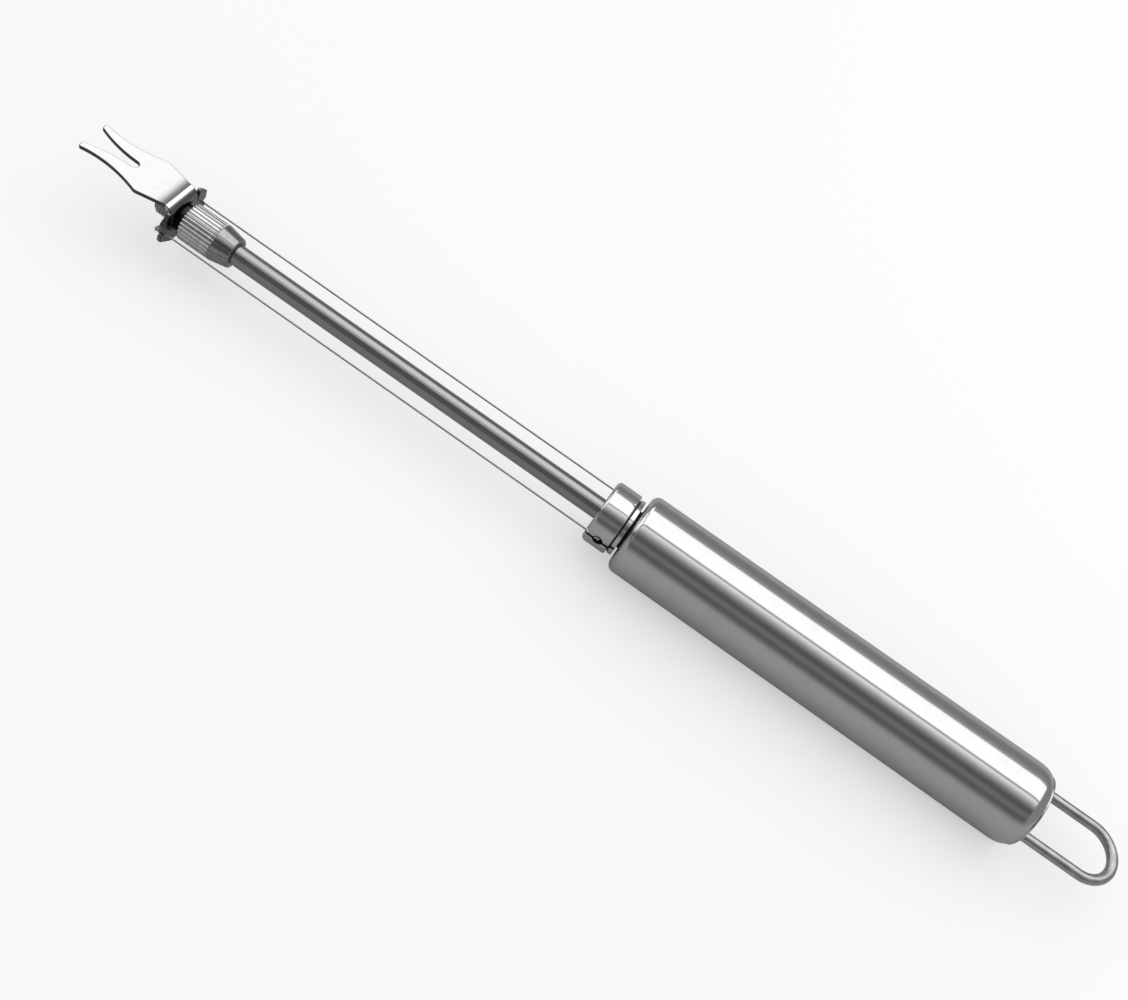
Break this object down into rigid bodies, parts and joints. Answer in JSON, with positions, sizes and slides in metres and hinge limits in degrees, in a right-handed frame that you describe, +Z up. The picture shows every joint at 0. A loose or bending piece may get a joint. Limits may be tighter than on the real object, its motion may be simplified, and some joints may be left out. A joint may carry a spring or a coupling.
{
  "type": "cheese slicer",
  "caption": "Hand-held cheese slicer with a tubular handle, a straight rod, taut cutting wires on both sides and a pronged serving fork.",
  "frame": {"origin": "bottom centre of the whole tool's box, on the surface that the handle lies on", "axes": "+X along the tool from the fork to the hanging loop, +Z up and square to the plane of the wires, on the fork's face side"},
  "size_m": [0.2758, 0.02, 0.0201],
  "materials": {
    "satin_steel": "satin brushed along the tool",
    "polished_steel": "polished, bright turned",
    "drawn_steel": "bright drawn bar and wire",
    "sheet_steel": "fine satin sheet with sheared edges"
  },
  "bodies": {
    "handle": {"handle_tube": "satin_steel", "handle_end_cap": "satin_steel", "hanging_loop": "polished_steel", "front_plug": "polished_steel", "wire_collar": "polished_steel", "rod": "drawn_steel", "collar_stop_right": "drawn_steel", "collar_stop_left": "drawn_steel", "cutting_wire_right": "drawn_steel", "cutting_wire_left": "drawn_steel"},
    "spreader": {"spreader_fork": "sheet_steel", "plate_stop_right": "drawn_steel", "plate_stop_left": "drawn_steel"},
    "nut": {"tension_nut": "satin_steel"}
  },
  "joints": [
    {"name": "wire_tension", "type": "slide", "parent": "handle", "child": "spreader", "axis": [1, 0, 0], "range_m": [0, 0.004], "deforming": ["cutting_wire_right", "cutting_wire_left"]},
    {"name": "nut_turn", "type": "hinge", "parent": "spreader", "child": "nut", "pos_m": [-0.1, 0, 0.01005], "axis": [1, 0, 0], "range_deg": [0, 1800]}
  ],
  "couplings": [
    {"joint": "nut_turn", "follows": "wire_tension", "rad_per_m": 7854}
  ]
}
